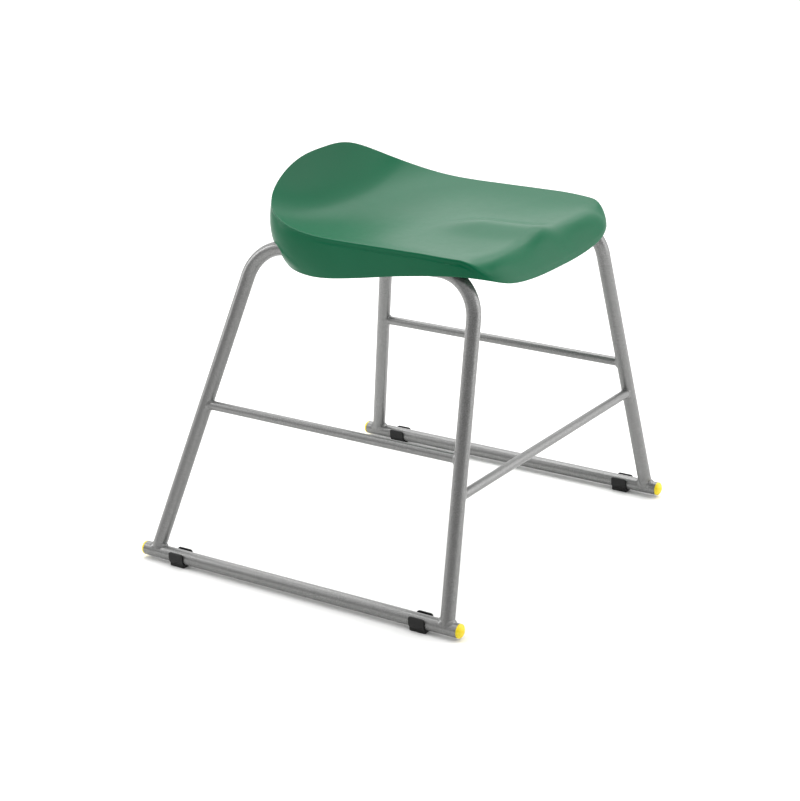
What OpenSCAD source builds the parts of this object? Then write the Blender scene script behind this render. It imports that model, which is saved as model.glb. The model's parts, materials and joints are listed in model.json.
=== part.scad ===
// Skid-base stool: a moulded plastic saddle seat on a welded frame of round steel tube.
// The floor is z = 0, the sitter faces -Y, and the stool is symmetric about the YZ plane.

/* [Frame] */
// Outside diameter of the leg and skid tube
tube_d = 19; // [16:0.5:22]
// Wall of the leg and skid tube
tube_wall = 1.5; // [1:0.1:2.5]
// Outside diameter of the side rungs and the front rail
rung_d = 12.7; // [10:0.1:16]
// Wall of the side rungs and the front rail
rung_wall = 1.2; // [0.8:0.1:2]
// Distance from the middle plane to the axis of each skid
skid_half_gap = 269; // [240:1:300]
// Length of each skid tube, without its end plugs
skid_length = 500; // [480:1:560]
// Distance between the feet of the front and rear leg on one skid
foot_gap = 464.6; // [430:0.2:470]
// Height of the frame's front top corner above the skid axis
front_corner_h = 423; // [380:1:460]
// Height of the frame's rear top corner above the skid axis
rear_corner_h = 416.5; // [376:0.5:450]
// Distance from the middle plane to the top bar's axis at its front corner
bar_half_gap = 152.4; // [148:0.2:154]
// How far the front top corner sits behind the front foot
front_rake = 22.5; // [0:0.5:40]
// How far the rear top corner sits ahead of the rear foot
rear_rake = 107.4; // [95:0.2:120]
// Centre-line radius of the four bends
bend_r = 57; // [45:1:62]
// Height of the side rungs above the skid axis
rung_h = 203.5; // [170:0.5:240]
// Height of the front rail above the skid axis
rail_h = 157.2; // [120:0.2:180]
// How far a weld bead reaches up each tube that it joins
bead = 2; // [1:0.1:3]

/* [Skid fittings] */
// Length of a glide along the skid
glide_l = 24; // [20:1:40]
// Thickness of a glide's wall
glide_t = 2.4; // [1.6:0.1:3]
// Thickness of a glide's foot, under the tube
glide_foot = 3; // [2:0.1:5]
// Distance from the front foot back to the front glide's centre
front_glide_in = 39; // [30:1:80]
// Distance from the rear foot forward to the rear glide's centre
rear_glide_in = 40; // [30:1:80]
// Diameter of the peg that locates a glide in its tube
peg_d = 6; // [4:0.5:8]
// Thickness of an end plug's flange at its rim
plug_flange = 2.5; // [1.5:0.1:4]
// How far an end plug's domed face stands out beyond its flange
plug_dome = 4; // [1.5:0.1:5]
// Length of an end plug's stem inside the tube
plug_stem = 14; // [8:1:20]

/* [Seat] */
// Half width of the seat
seat_half_w = 177; // [174:0.5:190]
// Distance from the seat's middle to its rear edge
seat_back = 184; // [180:1:190]
// Distance from the seat's middle to its front edge
seat_front = 183; // [176:1:200]
// Distance that the seat's middle lies ahead of the stool's middle
seat_ahead = 55; // [50:1:60]
// Height of the side rims above the floor
rim_h = 460.5; // [456:0.5:466]
// Height of the rear lip above the side rims
lip_h = 69; // [30:1:80]
// Height of the seat's middle above the floor
dish_h = 448.5; // [446:0.5:452]
// Extra depth of the hollow under the sitter's seat bones
dip = 5; // [0:0.5:8]
// Height of the ridge between the thighs
ridge = 8; // [0:0.5:12]
// Half width of that ridge
ridge_w = 34; // [24:1:50]
// Depth of the rounded front edge, from front to back
nose_depth = 42; // [30:1:60]
// Radius of the rim between the dish and the skirt
rim_r = 5; // [4.5:0.1:8]
// Wall of the seat shell
shell_t = 3.5; // [2.5:0.1:4]
// Gap round each tube where it leaves the shell's skirt
notch_gap = 1.5; // [0.5:0.1:3]

/* [Seat fixing] */
// Width of the steel straps between the top bars
strap_w = 25; // [20:1:40]
// Thickness of the straps
strap_t = 3; // [2:0.1:5]
// Place of the front strap, measured from front to back
front_strap_y = -110; // [-130:1:-90]
// Place of the rear strap, measured from front to back
rear_strap_y = 40; // [20:1:50]
// Distance from the middle plane to each seat screw
screw_x = 62; // [40:1:90]
// Diameter of the seat screws
screw_d = 4.8; // [4:0.1:6]
// Length of a seat screw under its head
screw_l = 14; // [12:1:16]
// Diameter of the moulded bosses that the screws enter
boss_d = 13; // [11:0.5:18]
// Width of each moulded rib that rests on a top bar
rib_t = 3; // [2:0.1:4]
// Gap between a rib and its top bar
rib_gap = 0.2; // [0.1:0.1:0.5]

/* [Hidden] */

steel = [0.56, 0.56, 0.55];
zinc = [0.78, 0.78, 0.76];
green = [0.11, 0.47, 0.33];
yellow = [0.94, 0.85, 0.08];
black = [0.1, 0.1, 0.1];

tube_r = tube_d / 2;
bore_r = tube_r - tube_wall;
rung_r = rung_d / 2;
axis_h = glide_foot + tube_r;            // height of the skid axes
round_fn = 96;                           // facets drawn round a tube
over = 1;                                // how far a cutting shape passes the face that it cuts
bend_swell = 0.1;                        // how far a tube swells in a bend, in radius
run_lap = 1;                             // how far a straight run reaches into a bend
cope_start = tube_r * 0.25;              // how far above the skid axis a leg's coped end begins

// ---- The plane of a side frame: u runs to the rear, v runs up the lean, from the skid axis ----
lean = atan2(skid_half_gap - bar_half_gap, front_corner_h);
front_foot = [-foot_gap / 2, 0];
rear_foot = [foot_gap / 2, 0];
front_corner = [front_foot.x + front_rake, front_corner_h / cos(lean)];
rear_corner = [rear_foot.x - rear_rake, rear_corner_h / cos(lean)];
side_path = [front_foot, front_corner, rear_corner, rear_foot];

function along(a, b, t) = a + (b - a) * t;
function at_height(a, b, h) = along(a, b, h / cos(lean) / b.y);
function heading(a, b) = atan2(b.y - a.y, b.x - a.x);
function turn(p, i) = heading(p[i - 1], p[i]) - heading(p[i], p[i + 1]);
function trim_length(p, i) = bend_r * tan(turn(p, i) / 2);
function toward(a, b, d) = a + (b - a) * d / norm(b - a);
function bend_centre(p, i) = let (s = toward(p[i], p[i - 1], trim_length(p, i)),
                                  h = heading(p[i - 1], p[i]) - 90)
    s + bend_r * [cos(h), sin(h)];

front_leg_at_rung = at_height(front_foot, front_corner, rung_h);
rear_leg_at_rung = at_height(rear_foot, rear_corner, rung_h);
rail_y = at_height(front_foot, front_corner, rail_h).x;
rail_end_x = skid_half_gap - rail_h * tan(lean);

// Height of a top bar's axis above the floor, at a place along the stool
function bar_h(y) = axis_h + front_corner_h
    + (rear_corner_h - front_corner_h) * (y - front_corner.x) / (rear_corner.x - front_corner.x);
function bar_x(y) = skid_half_gap - (bar_h(y) - axis_h) * tan(lean);

module in_side_plane()
    translate([skid_half_gap, 0, axis_h]) rotate([0, -lean, 0]) rotate([90, 0, 90]) children();

// A round bar from a to b in the side frame's plane
module bar(a, b, r)
    translate([a.x, a.y, 0]) rotate([0, 0, heading(a, b)]) rotate([0, 90, 0])
        cylinder(r = r, h = norm(b - a), $fn = round_fn);

module tube_run(a, b, r, bore)
    difference() {
        bar(a, b, r);
        bar(toward(a, b, -over), toward(b, a, -over), bore);
    }

module bend(i, r)
    translate(concat(bend_centre(side_path, i), 0))
        rotate([0, 0, heading(side_path[i], side_path[i + 1]) + 90])
            rotate_extrude(angle = turn(side_path, i), $fn = round_fn)
                translate([bend_r, 0]) circle(r = r, $fn = round_fn);

run_points = [toward(front_foot, front_corner, cope_start),
              toward(front_corner, front_foot, trim_length(side_path, 1)),
              toward(front_corner, rear_corner, trim_length(side_path, 1)),
              toward(rear_corner, front_corner, trim_length(side_path, 2)),
              toward(rear_corner, rear_foot, trim_length(side_path, 2)),
              toward(rear_foot, rear_corner, cope_start)];

// Front leg, top bar and rear leg are one bent tube, coped over the skid
module leg_tube() color(steel) in_side_plane() difference() {
    bent_bar(tube_r, bend_swell);
    bent_bar(bore_r, -bend_swell);
    skid_bar(tube_r);
}

module bent_bar(r, swell) {
    for (i = [0, 2, 4]) let (a = run_points[i], b = run_points[i + 1])
        bar(toward(a, b, -run_lap), toward(b, a, -run_lap), r);
    for (i = [1, 2]) bend(i, r + swell);
}

module skid_bar(r) bar([-skid_length / 2, 0], [skid_length / 2, 0], r);

module skid_tube() color(steel) difference() {
    in_side_plane() tube_run([-skid_length / 2, 0], [skid_length / 2, 0], tube_r, bore_r);
    for (y = glide_places) glide_peg(y, peg_d / 2, -over, tube_r);
}

module rung() color(steel) in_side_plane() difference() {
    tube_run(front_leg_at_rung, rear_leg_at_rung, rung_r, rung_r - rung_wall);
    bar(front_foot, front_corner, tube_r);
    bar(rear_foot, rear_corner, tube_r);
}

module both_sides() {
    children();
    mirror([1, 0, 0]) children();
}

// A round bar along X at the front rail's place
module rail_bar(r, past = 0)
    translate([-rail_end_x - past, rail_y, axis_h + rail_h]) rotate([0, 90, 0])
        cylinder(r = r, h = 2 * (rail_end_x + past), $fn = round_fn);

module front_foot_rail() color(steel) difference() {
    rail_bar(rung_r);
    rail_bar(rung_r - rung_wall, over);
    both_sides() in_side_plane() bar(front_foot, front_corner, tube_r);
}

// ---- Weld beads: what lies within a bead's reach of both tubes and outside them ----
module weld_at_skid(foot, corner) difference() {
    intersection() {
        bar(toward(foot, corner, cope_start), corner, tube_r + bead);
        skid_bar(tube_r + bead);
    }
    bar(foot, corner, tube_r);
    skid_bar(tube_r);
}

module weld_at_rung(here, there, foot, corner) difference() {
    intersection() {
        bar(here, along(here, there, 0.5), rung_r + bead);
        bar(foot, corner, tube_r + bead);
    }
    bar(here, there, rung_r);
    bar(foot, corner, tube_r);
}

module weld_at_rail() difference() {
    intersection() {
        rail_bar(rung_r + bead);
        in_side_plane() bar(front_foot, front_corner, tube_r + bead);
    }
    rail_bar(rung_r);
    in_side_plane() bar(front_foot, front_corner, tube_r);
}

// A bead along the corner between a strap's underside and the top bar
module weld_at_strap(y) difference() {
    translate([bar_x(y) - sqrt(pow(tube_r, 2) - pow(strap_t, 2)), y + strap_w / 2 - bead,
               bar_h(y) - strap_t])
        rotate([90, 0, 0]) cylinder(r = bead, h = strap_w - 2 * bead, $fn = 32);
    in_side_plane() bar(front_corner, rear_corner, tube_r);
    strap_plate(y);
}

module weld_beads() color(steel) {
    in_side_plane() {
        weld_at_skid(front_foot, front_corner);
        weld_at_skid(rear_foot, rear_corner);
        weld_at_rung(front_leg_at_rung, rear_leg_at_rung, front_foot, front_corner);
        weld_at_rung(rear_leg_at_rung, front_leg_at_rung, rear_foot, rear_corner);
    }
    weld_at_rail();
    for (y = [front_strap_y, rear_strap_y]) weld_at_strap(y);
}

// ---- Straps and screws that hold the seat ----
hole_gap = 0.3;                          // gap round a screw in its strap and washer
strap_hole_r = screw_d / 2 + hole_gap;
washer_t = 1;
washer_r = screw_d * 1.25;
head_r = screw_d * 0.95;
head_h = screw_d * 0.62;
head_dome_r = head_r * 1.2;              // radius of a screw head's rounded edge
recess_l = screw_d * 0.9;                // length and width of each arm of its cross recess
recess_w = screw_d * 0.18;
recess_depth = head_h * 0.6;
pilot_spare = 0.5;                       // how much deeper the pilot hole is than the screw
pilot_depth = screw_l - washer_t - strap_t + pilot_spare;
screw_places = [for (y = [front_strap_y, rear_strap_y], side = [-1, 1]) [side * screw_x, y]];

module strap_plate(y)
    translate([-bar_x(y), y - strap_w / 2, bar_h(y) - strap_t])
        cube([2 * bar_x(y), strap_w, strap_t]);

module seat_strap(y) color(steel) difference() {
    strap_plate(y);
    both_sides() in_side_plane() bar(front_corner, rear_corner, tube_r);
    for (side = [-1, 1])
        translate([side * screw_x, y, bar_h(y) - strap_t - over])
            cylinder(r = strap_hole_r, h = strap_t + 2 * over, $fn = 48);
}

module seat_washers() color(zinc)
    for (p = screw_places)
        translate([p.x, p.y, bar_h(p.y) - strap_t - washer_t]) difference() {
            cylinder(r = washer_r, h = washer_t, $fn = 48);
            translate([0, 0, -over])
                cylinder(r = strap_hole_r, h = washer_t + 2 * over, $fn = 48);
        }

// Pan head screws, driven up from below, each with a cross recess
module seat_screws() color(zinc)
    for (p = screw_places)
        translate([p.x, p.y, bar_h(p.y) - strap_t - washer_t]) {
            cylinder(r = screw_d / 2, h = screw_l, $fn = 48);
            mirror([0, 0, 1]) difference() {
                union() {
                    cylinder(r = head_r, h = head_h / 2, $fn = 48);
                    translate([0, 0, head_h / 2]) intersection() {
                        translate([0, 0, head_h / 2 - head_dome_r])
                            sphere(r = head_dome_r, $fn = 64);
                        cylinder(r = head_r, h = head_h, $fn = 48);
                    }
                }
                for (a = [0, 90])
                    translate([0, 0, head_h]) rotate([0, 0, a])
                        cube([recess_l, recess_w, 2 * recess_depth], center = true);
            }
        }

// ---- End plugs ----
plug_fit = 0.05;                         // gap between a plug's stem and its tube
plug_wall = 1.6;
plug_stem_r = bore_r - plug_fit;
plug_bore_r = plug_stem_r - plug_wall;
dome_r = (pow(tube_r, 2) + pow(plug_dome, 2)) / (2 * plug_dome);

// Turned about Z: the flange sits on z = 0 and the stem runs down into the tube
module plug_body() color(yellow) {
    difference() {
        translate([0, 0, -plug_stem]) cylinder(r = plug_stem_r, h = plug_stem, $fn = 64);
        translate([0, 0, -plug_stem - over]) cylinder(r = plug_bore_r, h = plug_stem, $fn = 64);
    }
    cylinder(r = tube_r, h = plug_flange, $fn = 64);
    translate([0, 0, plug_flange]) intersection() {
        translate([0, 0, plug_dome - dome_r]) sphere(r = dome_r, $fn = 128);
        cylinder(r = tube_r, h = plug_dome, $fn = 64);
    }
}

// end is -1 for the front plug and 1 for the rear plug
module end_plug(end)
    translate([skid_half_gap, end * skid_length / 2, axis_h]) rotate([-90 * end, 0, 0]) plug_body();

// ---- Glides: a saddle that grips the skid from below, with a foot and a peg ----
glide_places = [front_foot.x + front_glide_in, rear_foot.x - rear_glide_in];
glide_r = tube_r + glide_t;
grip_h = tube_r * 0.85;                  // how far a glide's walls reach above the skid axis
foot_half_w = tube_r * 0.95;
peg_gap = 0.1;
peg_past = 2;                            // how far a peg reaches into the skid's bore
peg_top = tube_wall + peg_past;

module glide_peg(y, r, low, high)
    translate([skid_half_gap, y, axis_h - tube_r + low]) cylinder(r = r, h = high - low, $fn = 48);

// A U with straight walls above the axis
module glide_outline() difference() {
    union() {
        circle(r = glide_r, $fn = 96);
        translate([-glide_r, 0]) square([2 * glide_r, grip_h]);
        translate([-foot_half_w, -tube_r - glide_foot])
            square([2 * foot_half_w, glide_foot + tube_r / 2]);
    }
    circle(r = tube_r, $fn = 96);
    translate([-tube_r, 0]) square([tube_d, glide_r + over]);
}

module glide(y) color(black) {
    translate([skid_half_gap, y + glide_l / 2, axis_h]) rotate([90, 0, 0])
        linear_extrude(glide_l) glide_outline();
    glide_peg(y, peg_d / 2 - peg_gap, -glide_foot / 2, peg_top);
}

// ---- Seat shell ----
// Round the seat, an angle of 90 is the middle of the rear lip and -90 the middle of the front.
seat_y = -seat_ahead;
rear_squareness = 4.5;
front_squareness = 6.4;
dish_power = 4;                          // how late the dish turns up towards a side rim
lip_power = 3.5;                         // how much later it turns up towards the rear lip
lip_spread = 42;                         // angle over which the rear lip falls away
// Angle from the side, and how far the hem hangs below the side rim there
hem_line = [[-90, 50], [-72, 48.5], [-58, 42], [-46, 28], [-38, 25], [-20, 34],
            [4, 48], [24, 57], [38, 56], [60, 48], [90, 46]];
// Angle, and how far the hem is drawn in from the rim
tuck_line = [[-90, 0], [-40, 0], [-10, 3], [18, 5], [32, 9], [44, 15], [60, 18], [90, 20]];
// Angle, and how far the skirt swells between rim and hem
swell_line = [[-90, 0], [-30, 0], [10, 1], [28, 4], [44, 9], [60, 7], [90, 5]];
shoulder_drop = 4;                       // how much lower the rim is at the front corners
shoulder_span = [-25, -50];              // angles over which it drops
nose_span = [-39, -50];                  // angles over which the rim turns into the rounded nose
nose_round = 0.55;                       // share of the nose's fall that follows a quarter ellipse
ridge_span = [-50, -130];                // places, front to back, over which the ridge rises
dip_y = 15;                              // place of the dip's deepest point
dip_half_w = 105;
dip_half_l = 60;
dish_crowding = 0.7;                     // below 1, the dish's steps draw closer towards the rim
rings = 84;                              // sections round the seat
dish_steps = 14;
rim_steps = 4;
skirt_steps = 5;

function ramp(from, to, v) = let (u = min(1, max(0, (v - from) / (to - from)))) u * u * (3 - 2 * u);
function fold(a) = asin(sin(a));

// A smooth curve through the stations of a table
function slope(tab, i) = i == 0 || i == len(tab) - 1 ? 0
    : (tab[i + 1][1] - tab[i - 1][1]) / (tab[i + 1][0] - tab[i - 1][0]);
function station(tab, v) = max([for (i = [0 : len(tab) - 2]) if (i == 0 || tab[i][0] <= v) i]);
function curve(tab, v) = let (i = station(tab, v), h = tab[i + 1][0] - tab[i][0],
                              u = (v - tab[i][0]) / h)
    (2 * pow(u, 3) - 3 * u * u + 1) * tab[i][1] + (pow(u, 3) - 2 * u * u + u) * h * slope(tab, i)
    + (3 * u * u - 2 * pow(u, 3)) * tab[i + 1][1] + (pow(u, 3) - u * u) * h * slope(tab, i + 1);

function rim_reach(a) = let (n = sin(a) > 0 ? rear_squareness : front_squareness,
                             end = sin(a) > 0 ? seat_back : seat_front)
    pow(pow(abs(cos(a)) / seat_half_w, n) + pow(abs(sin(a)) / end, n), -1 / n);
function lip(a) = exp(-pow((90 - fold(a)) / lip_spread, 3));
function shoulder_h(a) = rim_h + lip_h * lip(a)
    - shoulder_drop * ramp(shoulder_span[0], shoulder_span[1], fold(a));
function hem_h(a) = rim_h - curve(hem_line, fold(a));
function nose_drop(a) = (shoulder_h(a) - hem_h(a) - shell_t)
    * ramp(nose_span[0], nose_span[1], fold(a));

// Height of the seat's upper face, at an angle and a share s of the way out to the rim
function seat_h(a, s) = let (reach = rim_reach(a), x = s * reach * cos(a),
                             y = seat_y + s * reach * sin(a),
                             u = max(0, 1 - (1 - s) * reach / nose_depth),
                             fall = nose_round * (1 - sqrt(1 - u * u)) + (1 - nose_round) * pow(u, 3),
                             nose = nose_drop(a))
    dish_h + (shoulder_h(a) - dish_h) * pow(s, dish_power + lip_power * lip(a))
    + ridge * exp(-pow(x / ridge_w, 2)) * ramp(ridge_span[0], ridge_span[1], y)
        * (nose > 0 ? 1 - fall : 1)
    - dip * exp(-pow(x / dip_half_w, 2) - pow((y - dip_y) / dip_half_l, 2))
    - nose * fall;

function seat_h_at(x, y) = let (a = atan2(y - seat_y, x))
    seat_h(a, norm([x, y - seat_y]) / rim_reach(a));

// One section of the shell's outside, from near the middle to the hem, as [distance out, height]
function section(a) = let (reach = rim_reach(a), rim = [reach, seat_h(a, 1)],
                           hem = [reach - curve(tuck_line, fold(a)), hem_h(a)],
                           drop = norm(hem - rim), round = min(rim_r, 0.45 * drop),
                           last = 1 - round / reach, start = [last * reach, seat_h(a, last)],
                           stop = toward(rim, hem, round), swell = curve(swell_line, fold(a)),
                           out = [rim.y - hem.y, hem.x - rim.x] / drop)
    concat([for (i = [1 : dish_steps]) let (s = last * pow(i / dish_steps, dish_crowding))
                [s * reach, seat_h(a, s)]],
           [for (i = [1 : rim_steps]) let (u = i / rim_steps)
                pow(1 - u, 2) * start + 2 * u * (1 - u) * rim + u * u * stop],
           [for (i = [1 : skirt_steps]) let (u = i / skirt_steps)
                along(stop, hem, u) + out * swell * 4 * u * (1 - u)]);

// The same section moved in by the shell's wall
function inner_section(p) = [for (i = [0 : len(p) - 1])
    let (t = p[min(i + 1, len(p) - 1)] - p[max(i - 1, 0)])
    i == len(p) - 1 ? p[i] - [shell_t, 0] : p[i] + shell_t * [t.y, -t.x] / norm(t)];

function place(a, p) = [p.x * cos(a), seat_y + p.x * sin(a), p.y];

module shell_skin() {
    angles = [for (i = [0 : rings - 1]) 360 * i / rings];
    outer = [for (a = angles) section(a)];
    inner = [for (p = outer) inner_section(p)];
    n = len(outer[0]);
    loop = 2 * n;
    middle = rings * loop;
    points = concat([for (i = [0 : rings - 1]) each concat(
                        [for (p = outer[i]) place(angles[i], p)],
                        [for (j = [n - 1 : -1 : 0]) place(angles[i], inner[i][j])])],
                    [[0, seat_y, seat_h(0, 0)], [0, seat_y, seat_h(0, 0) - shell_t]]);
    faces = [for (i = [0 : rings - 1]) let (here = i * loop, next = (i + 1) % rings * loop) each concat(
                [[middle, next, here], [middle + 1, here + loop - 1, next + loop - 1]],
                [for (j = [0 : loop - 2]) each
                    [[here + j, next + j, next + j + 1], [here + j, next + j + 1, here + j + 1]]])];
    polyhedron(points, faces, convexity = 6);
}

// Half width of the rim at a place along the seat
function rim_half_w(y) = let (d = y - seat_y, n = d > 0 ? rear_squareness : front_squareness)
    seat_half_w * pow(1 - pow(abs(d) / (d > 0 ? seat_back : seat_front), n), 1 / n);

rib_pitch = 9;                           // distance between ribs, and from a strap to its first rib
ribs_in_row = 2;
rib_places = [for (i = [1 : ribs_in_row]) each [front_strap_y - strap_w / 2 - i * rib_pitch,
                                                rear_strap_y + strap_w / 2 + i * rib_pitch]];
rib_reach = 14;                          // how far a rib reaches inward from its top bar's axis
rib_steps = 6;
sink = 1;                                // how far ribs and bosses run into the shell's wall

// A rib inside the shell that straddles a top bar
module bar_rib(y) {
    inside = bar_x(y) - rib_reach;
    outside = rim_half_w(y) - shell_t - sink;
    top = [for (i = [0 : rib_steps]) let (x = along(inside, outside, i / rib_steps))
        [x, seat_h_at(x, y) - shell_t + sink]];
    translate([0, y + rib_t / 2, 0]) rotate([90, 0, 0]) linear_extrude(rib_t)
        polygon(concat([[outside, bar_h(y)], [inside, bar_h(y)]], top));
}

module screw_boss(p)
    translate([p.x, p.y, bar_h(p.y)])
        cylinder(r = boss_d / 2, h = seat_h_at(p.x, p.y) - shell_t + sink - bar_h(p.y), $fn = 48);

// resize() with zeros changes no size: it makes the moulding one surface before its bores are cut
module seat_shell() color(green) difference() {
    resize([0, 0, 0]) seat_moulding();
    for (p = screw_places)
        translate([p.x, p.y, bar_h(p.y) - over])
            cylinder(r = screw_d / 2, h = pilot_depth + over, $fn = 48);
}

module seat_moulding() difference() {
    union() {
        shell_skin();
        both_sides() for (y = rib_places) bar_rib(y);
        for (p = screw_places) screw_boss(p);
    }
    both_sides() {
        in_side_plane() bar(run_points[2], run_points[3], tube_r + rib_gap);
        in_side_plane() bend(2, tube_r + notch_gap);
        // The notch is open downwards, so that the shell drops over the frame
        translate([bar_x(rear_corner.x) - tube_r - notch_gap, run_points[3].x, 0])
            cube([2 * (tube_r + notch_gap), bend_r, bar_h(rear_corner.x)]);
    }
}

seat_shell();
mirror([1, 0, 0]) leg_tube();  // left_leg_tube
leg_tube();  // right_leg_tube
mirror([1, 0, 0]) skid_tube();  // left_skid_tube
skid_tube();  // right_skid_tube
mirror([1, 0, 0]) rung();  // left_rung
rung();  // right_rung
front_foot_rail();
seat_strap(front_strap_y);  // front_seat_strap
seat_strap(rear_strap_y);  // rear_seat_strap
mirror([1, 0, 0]) weld_beads();  // left_weld_beads
weld_beads();  // right_weld_beads
seat_washers();
seat_screws();
mirror([1, 0, 0]) end_plug(-1);  // left_front_plug
mirror([1, 0, 0]) end_plug(1);  // left_rear_plug
end_plug(-1);  // right_front_plug
end_plug(1);  // right_rear_plug
mirror([1, 0, 0]) glide(glide_places[0]);  // left_front_glide
mirror([1, 0, 0]) glide(glide_places[1]);  // left_rear_glide
glide(glide_places[0]);  // right_front_glide
glide(glide_places[1]);  // right_rear_glide
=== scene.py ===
# %% [markdown]
# # A skid-base stool
# The stool is a green moulded seat on a welded frame of round steel tube.
# The steel tubes, straps, washers and screws come ready-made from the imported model, which is fixed.
# This lesson builds the pieces whose looks need more: the seat, the end plugs, the glides and the
# weld beads. It then gives every surface a procedural finish.

# %% Load the fixed frame
import json
import math

import bmesh
import bpy
import numpy as np
from mathutils import Matrix, Vector


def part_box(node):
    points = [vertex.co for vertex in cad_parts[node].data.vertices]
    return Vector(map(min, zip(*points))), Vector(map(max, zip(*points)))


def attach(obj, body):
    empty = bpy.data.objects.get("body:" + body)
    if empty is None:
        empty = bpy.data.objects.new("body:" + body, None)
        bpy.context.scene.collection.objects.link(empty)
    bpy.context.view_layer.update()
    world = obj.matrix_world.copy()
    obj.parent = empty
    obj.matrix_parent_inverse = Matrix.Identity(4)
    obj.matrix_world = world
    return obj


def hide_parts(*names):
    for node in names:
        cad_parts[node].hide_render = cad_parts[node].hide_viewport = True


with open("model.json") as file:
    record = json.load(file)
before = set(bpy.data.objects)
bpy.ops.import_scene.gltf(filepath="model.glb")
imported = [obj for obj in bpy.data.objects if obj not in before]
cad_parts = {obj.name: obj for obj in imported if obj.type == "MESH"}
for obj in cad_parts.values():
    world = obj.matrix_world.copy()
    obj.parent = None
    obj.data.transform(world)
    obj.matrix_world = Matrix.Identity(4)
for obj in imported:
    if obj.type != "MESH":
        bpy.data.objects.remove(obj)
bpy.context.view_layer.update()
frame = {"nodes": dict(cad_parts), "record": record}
MM = 0.001

# %% [markdown]
# ## The camera
# A long lens from a little above seat height keeps the tubes nearly parallel, as in a catalogue.
# The camera is placed by its aim point, its distance and its direction, so each can be changed by
# itself. It is tilted a degree about its own axis, as a hand-held camera often is.

# %% Camera
CAMERA_AIM = Vector((-0.0328, -0.0110, 0.1988))
CAMERA_DISTANCE = 2.8722
CAMERA_AZIMUTH = math.radians(-56.12)
CAMERA_ELEVATION = math.radians(19.94)
CAMERA_ROLL = math.radians(-1.31)
CAMERA_LENS_MM = 95.2

away = Vector((math.sin(CAMERA_AZIMUTH) * math.cos(CAMERA_ELEVATION),
               -math.cos(CAMERA_AZIMUTH) * math.cos(CAMERA_ELEVATION),
               math.sin(CAMERA_ELEVATION)))
camera = bpy.data.objects.new("camera", bpy.data.cameras.new("camera"))
bpy.context.scene.collection.objects.link(camera)
camera.data.lens = CAMERA_LENS_MM
camera.matrix_world = (Matrix.Translation(CAMERA_AIM + away * CAMERA_DISTANCE)
                       @ (-away).to_track_quat("-Z", "Y").to_matrix().to_4x4()
                       @ Matrix.Rotation(CAMERA_ROLL, 4, "Z"))
bpy.context.scene.camera = camera
print("camera at", [round(v, 3) for v in camera.matrix_world.translation])

# %% [markdown]
# ## Nodes, colours and meshes
# Three small helpers serve the whole file. One turns a hex colour, which is how paint and plastic
# makers quote one, into the linear values that a shader wants. One adds a shader node with its
# settings and links. One turns points and faces into a smooth-shaded object.

# %% Helpers
def linear(hex_colour):
    """The linear RGBA of an sRGB colour such as #27775A."""
    parts = [int(hex_colour[i:i + 2], 16) / 255 for i in (1, 3, 5)]
    return tuple(c / 12.92 if c <= 0.04045 else ((c + 0.055) / 1.055) ** 2.4 for c in parts) + (1,)


def add(tree, kind, settings=(), links=()):
    """Adds a node. A setting is a socket's number or name, or one of the node's own properties."""
    node = tree.nodes.new(kind)
    for name, value in dict(settings).items():
        if isinstance(name, int) or name in node.inputs:
            node.inputs[name].default_value = value
        else:
            setattr(node, name, value)
    for name, source in dict(links).items():
        tree.links.new(source, node.inputs[name])
    return node


def new_material(name):
    """An empty node material, and its tree, object coordinates and output."""
    material = bpy.data.materials.new(name)
    material.use_nodes = True
    tree = material.node_tree
    tree.nodes.clear()
    place = add(tree, "ShaderNodeTexCoord").outputs["Object"]
    return material, tree, place


def finish_material(tree, settings, links):
    shader = add(tree, "ShaderNodeBsdfPrincipled", settings, links)
    add(tree, "ShaderNodeOutputMaterial", {}, {"Surface": shader.outputs["BSDF"]})


SHARP_ANGLE = math.radians(38)


def make_object(name, points, faces, sharp=SHARP_ANGLE):
    """A smooth-shaded mesh object from points in millimetres, with its faces turned outward."""
    mesh = bpy.data.meshes.new(name)
    mesh.from_pydata([tuple(float(c) * MM for c in p) for p in points], [], faces)
    mesh.validate()
    work = bmesh.new()
    work.from_mesh(mesh)
    bmesh.ops.recalc_face_normals(work, faces=work.faces)
    work.to_mesh(mesh)
    work.free()
    mesh.shade_smooth()
    mesh.set_sharp_from_angle(angle=sharp)
    made = bpy.data.objects.new(name, mesh)
    bpy.context.scene.collection.objects.link(made)
    return made


def combine(target, tool, operation):
    """Cuts tool out of target, or joins it on, and removes tool."""
    change = target.modifiers.new("combine", "BOOLEAN")
    change.operation = operation
    change.solver = "EXACT"
    change.object = tool
    bpy.context.view_layer.update()
    result = bpy.data.meshes.new_from_object(
        target.evaluated_get(bpy.context.evaluated_depsgraph_get()))
    target.modifiers.clear()
    target.data = result
    result.name = target.name
    result.shade_smooth()
    result.set_sharp_from_angle(angle=SHARP_ANGLE)
    bpy.data.objects.remove(tool)
    return target


def lathe(profile, segments):
    """Points and faces of a closed profile [(radius, height)] turned about Z."""
    turns = [2 * math.pi * i / segments for i in range(segments)]
    points = [(r * math.cos(t), r * math.sin(t), z) for t in turns for r, z in profile]
    n = len(profile)
    faces = [(i * n + j, (i + 1) % segments * n + j, (i + 1) % segments * n + (j + 1) % n,
              i * n + (j + 1) % n) for i in range(segments) for j in range(n)]
    return points, faces


def gather(parts):
    """Several (points, faces) as one."""
    points, faces = [], []
    for more_points, more_faces in parts:
        start = len(points)
        points += [tuple(p) for p in more_points]
        faces += [tuple(start + i for i in f) for f in more_faces]
    return points, faces


# %% [markdown]
# ## The studio
# The stool stands on a white floor that runs out of sight, under a wide soft box. A tall soft box
# on one side draws the long bright line down each tube, and a broad one in front lights the seat's
# front edge. The room itself is brighter above and behind the stool than on the camera's side, so
# that the sides of the seat stay darker than its top.

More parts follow.
